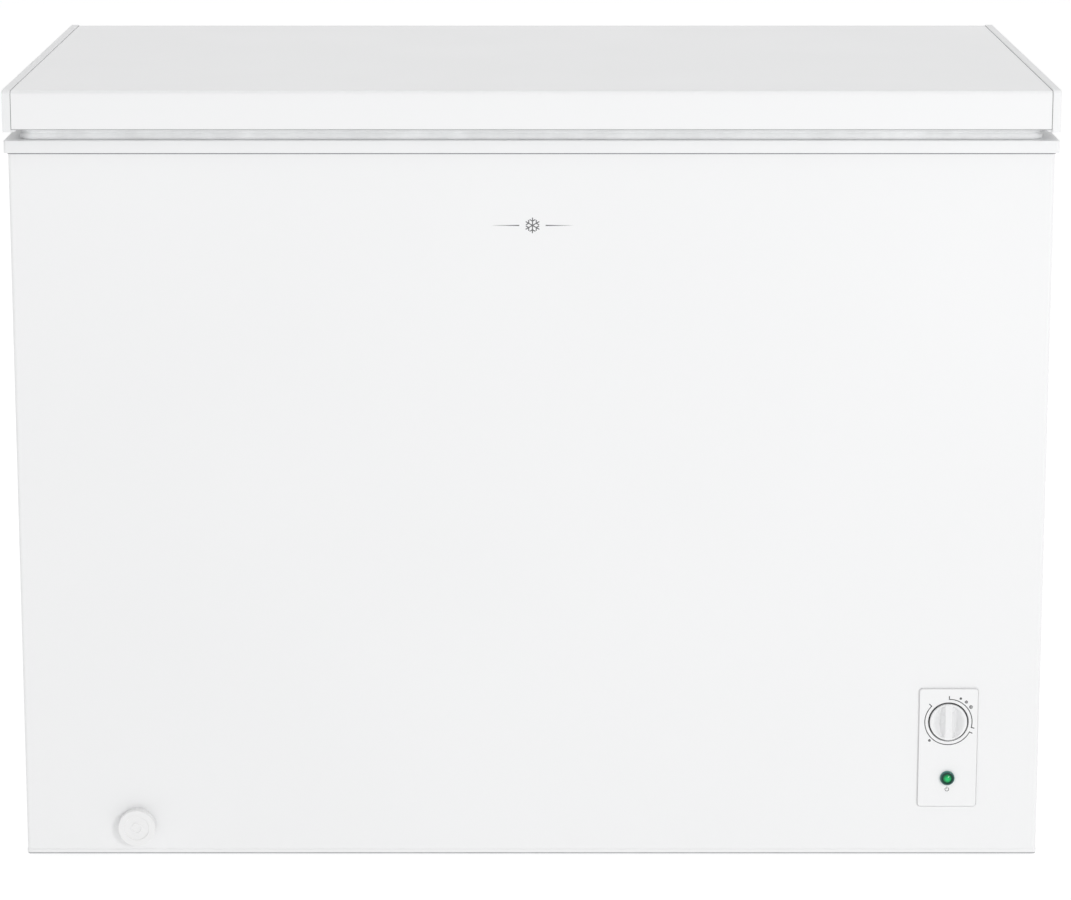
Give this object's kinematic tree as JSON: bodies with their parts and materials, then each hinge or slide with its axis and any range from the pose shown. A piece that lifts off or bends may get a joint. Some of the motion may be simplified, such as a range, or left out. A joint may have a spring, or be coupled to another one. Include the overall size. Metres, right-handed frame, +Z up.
{
  "type": "chest freezer",
  "caption": "White chest freezer with a sprung lift-up lid, front control panel with knob and lamp, low drain cap and wire basket.",
  "frame": {"origin": "on the floor, under the middle of the overall box", "axes": "+Z up, +X to the right as seen from the front, -Y out of the front where the controls are"},
  "size_m": [1.117, 0.64, 0.857],
  "materials": {
    "white_steel": "gloss",
    "white_plastic": "satin",
    "panel_plastic": "satin",
    "knob_plastic": "gloss",
    "drain_plastic": "satin",
    "galvanised": "satin",
    "zinc": "satin",
    "embossed_liner": "satin",
    "lid_liner_plastic": "satin",
    "foam": "matte",
    "seal_rubber": "matte",
    "magnet": "matte",
    "black_paint": "satin",
    "black_rubber": "matte",
    "black_plastic": "matte",
    "copper": "satin",
    "coil_aluminium": "satin",
    "grey_plastic": "matte",
    "light_plastic": "matte",
    "green_lens": "gloss",
    "spring_steel": "satin",
    "hinge_steel": "satin",
    "basket_coating": "satin",
    "grip_plastic": "satin"
  },
  "bodies": {
    "cabinet": {"outer_shell": "white_steel", "rear_panel": "galvanised", "base_pan": "galvanised", "inner_liner": "embossed_liner", "insulation_foam": "foam", "top_frame": "white_plastic", "machine_bay_panel": "galvanised", "compressor_deck": "galvanised", "compressor": "black_paint", "compressor_grommets": "black_rubber", "compressor_bolts": "zinc", "starter_relay": "black_plastic", "filter_drier": "copper", "refrigerant_pipes": "copper", "condenser_coil": "copper", "evaporator_coil": "coil_aluminium", "side_vent_grille": "white_plastic", "rear_service_cover": "galvanised", "cover_screws": "zinc", "cord_grommet": "black_rubber", "control_panel": "panel_plastic", "control_box": "light_plastic", "thermostat_body": "light_plastic", "sensing_tube": "copper", "lamp_lens": "green_lens", "lamp_holder": "light_plastic", "wiring_harness": "black_plastic", "drain_tube": "drain_plastic", "drain_spout": "drain_plastic", "feet": "black_plastic", "foot_screws": "zinc", "hinge_housing_left": "hinge_steel", "hinge_housing_right": "hinge_steel", "hinge_pin_left": "zinc", "hinge_pin_right": "zinc", "hinge_spring_left": "spring_steel", "hinge_spring_right": "spring_steel", "hinge_screws": "zinc"},
    "lid": {"lid_outer_panel": "white_steel", "lid_end_cap_left": "white_plastic", "lid_end_cap_right": "white_plastic", "lid_inner_liner": "lid_liner_plastic", "lid_insulation": "foam", "lid_gasket": "seal_rubber", "gasket_magnets": "magnet", "hinge_arm_left": "hinge_steel", "hinge_arm_right": "hinge_steel", "hinge_lid_screws": "zinc"},
    "plunger_left": {"hinge_plunger_left": "grey_plastic"},
    "plunger_right": {"hinge_plunger_right": "grey_plastic"},
    "knob": {"thermostat_knob": "knob_plastic", "thermostat_shaft": "zinc"},
    "cap": {"drain_cap": "drain_plastic"},
    "stopper": {"drain_stopper": "grey_plastic"},
    "basket": {"basket_rim": "basket_coating", "basket_floor_grid": "basket_coating", "basket_side_grids": "basket_coating", "basket_end_grids": "basket_coating", "basket_grips": "grip_plastic"}
  },
  "joints": [
    {"name": "lid_hinge", "type": "hinge", "parent": "cabinet", "child": "lid", "pos_m": [0, 0.31, 0.8], "axis": [-1, 0, 0], "range_deg": [0, 78]},
    {"name": "plunger_left_slide", "type": "slide", "parent": "cabinet", "child": "plunger_left", "axis": [0, 0, 1], "range_m": [0, 0.0152], "deforming": ["hinge_spring_left"]},
    {"name": "plunger_right_slide", "type": "slide", "parent": "cabinet", "child": "plunger_right", "axis": [0, 0, 1], "range_m": [0, 0.0152], "deforming": ["hinge_spring_right"]},
    {"name": "knob_turn", "type": "hinge", "parent": "cabinet", "child": "knob", "pos_m": [0.455, -0.3135, 0.162], "axis": [0, 1, 0], "range_deg": [0, 315]},
    {"name": "drain_cap_pull", "type": "slide", "parent": "cabinet", "child": "cap", "axis": [0, -1, 0], "range_m": [0, 0.03]},
    {"name": "drain_stopper_lift", "type": "slide", "parent": "cabinet", "child": "stopper", "axis": [0, 0, 1], "range_m": [0, 0.04]},
    {"name": "basket_slide", "type": "slide", "parent": "cabinet", "child": "basket", "axis": [-1, 0, 0], "range_m": [0, 0.7]}
  ],
  "couplings": [
    {"joint": "plunger_left_slide", "follows": "lid_hinge", "m_per_rad": 0.011095},
    {"joint": "plunger_right_slide", "follows": "lid_hinge", "m_per_rad": 0.011095}
  ]
}
